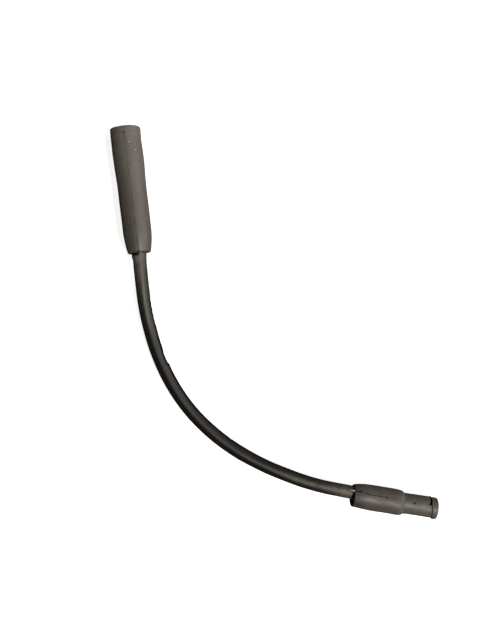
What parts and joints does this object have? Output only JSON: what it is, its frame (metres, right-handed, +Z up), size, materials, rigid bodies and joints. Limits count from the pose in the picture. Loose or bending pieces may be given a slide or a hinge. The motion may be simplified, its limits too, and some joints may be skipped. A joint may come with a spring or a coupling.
{
  "type": "ignition cable",
  "caption": "Flexible ignition lead lying in a curve, with a long straight rubber plug boot and a stepped rubber coil boot, each hollow round a folded sheet-metal contact.",
  "frame": {"origin": "on the surface that the cable lies on, under the middle of the box around the two boots", "axes": "+Z up; +Y along the plug boot, straight out of its mouth; +X completes the right-handed frame, and the coil boot points 15.9 degrees below it towards -Y"},
  "size_m": [0.1499, 0.2247, 0.0161],
  "materials": {
    "boot_rubber": "matte",
    "lead_jacket": "satin",
    "plug_contact_sheet": "satin",
    "coil_contact_sheet": "satin",
    "spring_wire": "satin",
    "conductor_yarn": "matte"
  },
  "bodies": {
    "root": {"plug_boot": "boot_rubber", "plug_terminal": "plug_contact_sheet", "plug_terminal_spring": "spring_wire", "plug_conductor_tail": "conductor_yarn", "lead": "lead_jacket", "coil_conductor_tail": "conductor_yarn", "coil_terminal": "coil_contact_sheet", "coil_boot": "boot_rubber"}
  },
  "joints": []
}
